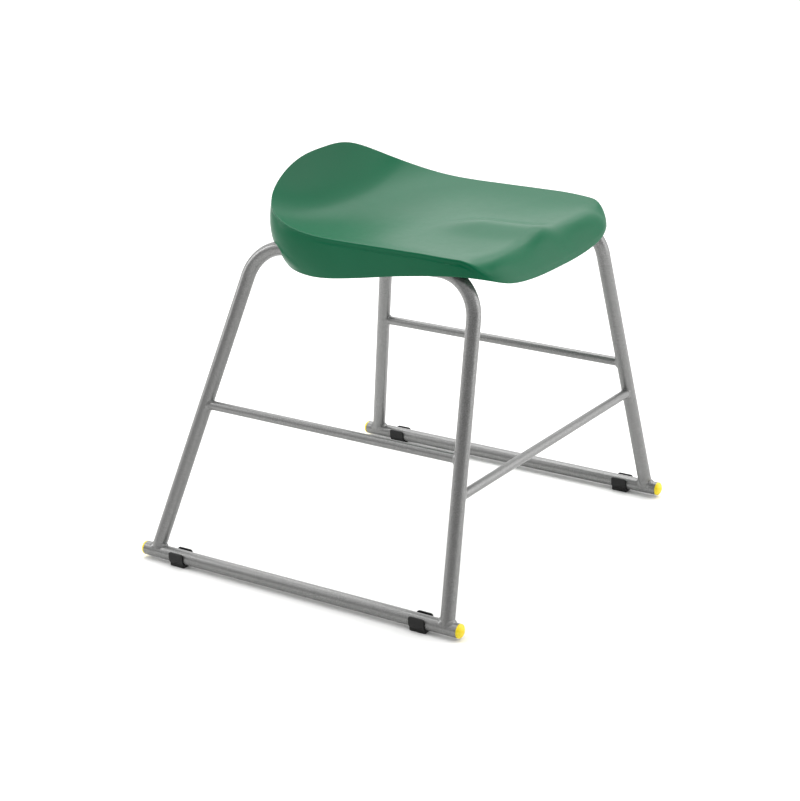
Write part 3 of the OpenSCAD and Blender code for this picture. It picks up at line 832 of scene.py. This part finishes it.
def glide_ring(inset, wall_h):
    """Outer points from wall top to wall top round the foot, then the inner points back."""
    r = TUBE_R + GLIDE_T - inset
    foot = -TUBE_R - GLIDE_FOOT + inset
    foot_w = FOOT_HALF_W - inset
    meet = math.asin(min(1.0, foot_w / r))
    outer = [(r - 0.5, wall_h), (r, wall_h - 0.5), (r, wall_h * 0.5)]
    outer += [(r * math.cos(t), -r * math.sin(t)) for t in np.linspace(0, math.pi / 2 - meet, 12)]
    corner = -r * math.cos(meet)
    outer += [(foot_w, corner + (foot + 0.8 - corner) * 0.5), (foot_w, foot + 0.8),
              (foot_w - 0.25, foot + 0.25), (foot_w - 0.8, foot), (foot_w * 0.5, foot), (0, foot)]
    outer += [(-x, z) for x, z in outer[-2::-1]]
    inner = [(TUBE_R, z) for z in (wall_h, wall_h - 0.5, wall_h * 0.5)]
    arc = len(outer) - 2 * len(inner)
    inner += [(TUBE_R * math.cos(t), -TUBE_R * math.sin(t)) for t in np.linspace(0, math.pi, arc)]
    inner += [(-TUBE_R, z) for z in (wall_h * 0.5, wall_h - 0.5, wall_h)]
    return outer, inner


def glide_mesh(side, low_y, high_y):
    """One glide round a skid, between two places along it."""
    half = (high_y - low_y) / 2
    ends = np.concatenate([GLIDE_EDGE_R * (1 - np.cos(np.linspace(0, math.pi / 2, END_STEPS))),
                           np.linspace(GLIDE_EDGE_R, GRIP_CORNER_R, 5)[1:]])
    stations = np.concatenate([ends, [half], 2 * half - ends[::-1]])
    points, n = [], 0
    for d in stations:
        near = min(d, 2 * half - d)
        inset = GLIDE_EDGE_R - math.sqrt(max(0, GLIDE_EDGE_R ** 2 - max(0, GLIDE_EDGE_R - near) ** 2))
        cut = GRIP_CORNER_R - math.sqrt(max(0, GRIP_CORNER_R ** 2 - max(0, GRIP_CORNER_R - near) ** 2))
        outer, inner = glide_ring(inset, GRIP_H - 0.75 * cut)
        ring = outer + inner[::-1]
        n = len(ring)
        points += [(side * SKID_X + x, low_y + d, SKID_Z + z) for x, z in ring]
    half_n = n // 2
    faces = []
    for i in range(len(stations) - 1):
        faces += [(i * n + j, (i + 1) * n + j, (i + 1) * n + (j + 1) % n, i * n + (j + 1) % n)
                  for j in range(n)]
    for base in (0, (len(stations) - 1) * n):
        faces += [(base + j, base + j + 1, base + n - 2 - j, base + n - 1 - j)
                  for j in range(half_n - 1)]
    return points, faces


for side, side_name in ((-1, "left"), (1, "right")):
    for end_name in ("front", "rear"):
        node = f"{side_name}_{end_name}_glide"
        low, high = (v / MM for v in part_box(node))
        glide = make_object(f"{side_name}_{end_name}_skid_glide", *glide_mesh(side, low.y, high.y))
        peg_points, peg_faces = lathe([(0.01, -1.5), (PEG_R, -1.5), (PEG_R, PEG_TOP - 0.5),
                                       (PEG_R - 0.5, PEG_TOP), (0.01, PEG_TOP)], 32)
        base = Vector((side * SKID_X, (low.y + high.y) / 2, SKID_Z - TUBE_R))
        peg = make_object("peg", [(x + base.x, y + base.y, z + base.z) for x, y, z in peg_points],
                          peg_faces)
        combine(glide, peg, "UNION")
        glide.data.materials.clear()
        glide.data.materials.append(glide_material)
        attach(glide, "root")
        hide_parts(node)
print("glide length", round(high.y - low.y, 1), "mm")

# %% [markdown]
# ## Weld beads
# The tubes are MIG welded. A bead fills the corner where one tube ends on another, and each pulse
# of the arc leaves a ripple. The bead is built along the line where the two cylinders meet: at each
# step it reaches a little way up both tubes, bulges between them and dips below their skin to close.

# %% Beads between two tubes
RIPPLE_MM = 1.7
RIPPLE_DEPTH = 0.16
BEAD_BULGE = 0.06
BEAD_STEPS = 44


def on_tube(point, base, run, radius):
    """The nearest point of a tube's surface, and the outward direction there."""
    off = (point - base) - run * (point - base).dot(run)
    return point - off + off.normalized() * radius, off.normalized()


def weld_bead(end_base, end_run, end_r, through_base, through_run, through_r, reach, arc):
    """A closed bead where one tube ends on another, over an arc of angles about the ending tube."""
    side_way = end_run.cross(through_run).normalized()
    ahead = side_way.cross(end_run)
    corner = []
    for t in np.linspace(arc[0], arc[1], BEAD_STEPS):
        start = end_base + end_r * (ahead * math.cos(t) + side_way * math.sin(t))
        w = start - through_base
        w = w - through_run * w.dot(through_run)
        v = end_run - through_run * end_run.dot(through_run)
        a, b, c = v.dot(v), 2 * w.dot(v), w.dot(w) - through_r ** 2
        root = math.sqrt(max(0.0, b * b - 4 * a * c))
        corner.append(start + end_run * (-b + root) / (2 * a))
    points, length = [], 0.0
    for i, p in enumerate(corner):
        run = corner[min(i + 1, len(corner) - 1)] - corner[max(i - 1, 0)]
        run.normalize()
        if i:
            length += (p - corner[i - 1]).length
        end_out = on_tube(p, end_base, end_run, end_r)[1]
        through_out = on_tube(p, through_base, through_run, through_r)[1]
        up = end_out.cross(run).normalized()
        up = up if up.dot(end_run) > 0 else -up
        away = through_out.cross(run).normalized()
        away = away if away.dot(end_out) > 0 else -away
        share = i / (len(corner) - 1)
        taper = min(1.0, 6 * min(share, 1 - share) + 0.12)
        w = reach * taper
        ripple = RIPPLE_DEPTH * taper * math.cos(2 * math.pi * length / RIPPLE_MM)
        toe_up = on_tube(p + up * w, end_base, end_run, end_r)[0]
        toe_out = on_tube(p + away * w, through_base, through_run, through_r)[0]
        middle_out = (end_out + through_out).normalized()
        points.append(toe_up - end_out * 0.4)
        points.append(toe_up)
        for u in (0.25, 0.5, 0.75):
            bulge = (BEAD_BULGE * w + ripple) * 4 * u * (1 - u)
            points.append(toe_up.lerp(toe_out, u) + middle_out * bulge)
        points.append(toe_out)
        points.append(toe_out - through_out * 0.4)
        points.append(p - middle_out * 0.5)
    n = 8
    last = (len(corner) - 1) * n
    faces = [tuple(range(n)), tuple(range(last + n - 1, last - 1, -1))]
    faces += [(i * n + j, (i + 1) * n + j, (i + 1) * n + (j + 1) % n, i * n + (j + 1) % n)
              for i in range(len(corner) - 1) for j in range(n)]
    return points, faces


LEG_BEAD = 3.0
RUNG_BEAD = 2.4
LEG_ARC = 1.42
along_y = Vector((0, 1, 0))
along_x = Vector((1, 0, 0))
right_beads = []
for foot, corner_point, at_rung, other in ((front_foot, front_corner, front_at_rung, rear_at_rung),
                                           (rear_foot, rear_corner, rear_at_rung, front_at_rung)):
    leg_run = (corner_point - foot).normalized()
    for start in (0, math.pi):
        right_beads.append(weld_bead(foot, leg_run, TUBE_R, foot, along_y, TUBE_R, LEG_BEAD,
                                     (start - LEG_ARC, start + LEG_ARC)))
    rung_run = (other - at_rung).normalized()
    right_beads.append(weld_bead(at_rung, rung_run, RUNG_R, foot, leg_run, TUBE_R, RUNG_BEAD,
                                 (0, 2 * math.pi)))
right_beads.append(weld_bead(front_at_rail, -along_x, RUNG_R, front_foot,
                             (front_corner - front_foot).normalized(), TUBE_R, RUNG_BEAD,
                             (0, 2 * math.pi)))

# %% Beads under the straps, and both sides
STRAP_T = 3.0
STRAP_BEAD = 2.0


def strap_bead(y):
    """A straight rippled bead between a strap's underside and the top bar."""
    bar = bar_point(y)
    count = int((STRAP_W - 2 * STRAP_BEAD) / RIPPLE_MM) * 6
    z = bar.z - STRAP_T
    x = bar.x - math.sqrt(TUBE_R ** 2 - STRAP_T ** 2)
    points, n = [], 9
    for i in range(count + 1):
        share = i / count
        place_y = y + (share - 0.5) * (STRAP_W - 2 * STRAP_BEAD)
        r = STRAP_BEAD * min(1.0, 5 * min(share, 1 - share) + 0.3)
        r += RIPPLE_DEPTH * math.cos(2 * math.pi * i / 6)
        for t in (math.pi * (0.98 + 0.62 * k / (n - 2)) for k in range(n - 1)):
            points.append(Vector((x + r * math.cos(t), place_y, z + r * math.sin(t))))
        points.append(Vector((x + 0.5, place_y, z + 0.3)))
    faces = [tuple(range(n)), tuple(range((count + 1) * n - 1, count * n - 1, -1))]
    faces += [(i * n + j, (i + 1) * n + j, (i + 1) * n + (j + 1) % n, i * n + (j + 1) % n)
              for i in range(count) for j in range(n)]
    return points, faces


right_beads += [strap_bead(y) for y in STRAP_YS]
bead_points, bead_faces = gather(right_beads)
for side, side_name in ((-1, "left"), (1, "right")):
    beads = make_object(f"{side_name}_rippled_welds",
                        [(side * x, y, z) for x, y, z in bead_points], bead_faces)
    beads.data.materials.append(paint_material)
    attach(beads, "root")
    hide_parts(f"{side_name}_weld_beads")
print("weld beads on each side:", len(right_beads))

# %% [markdown]
# ## Finishes on the fixed parts
# The tubes, straps, washers and screws already have their true shape, so they only need the right
# finish. Each node's record slot says which one it takes.

# %% Paint and plate on the CAD nodes
SLOT_FINISH = {"seat_plastic": seat_material, "frame_paint": paint_material,
               "zinc_fixings": zinc_material, "plug_plastic": plug_material,
               "glide_plastic": glide_material}
for part in frame["record"]["subparts"]:
    node = frame["nodes"][part["node"]]
    node.data.materials.clear()
    node.data.materials.append(SLOT_FINISH[part["material_slot"]])
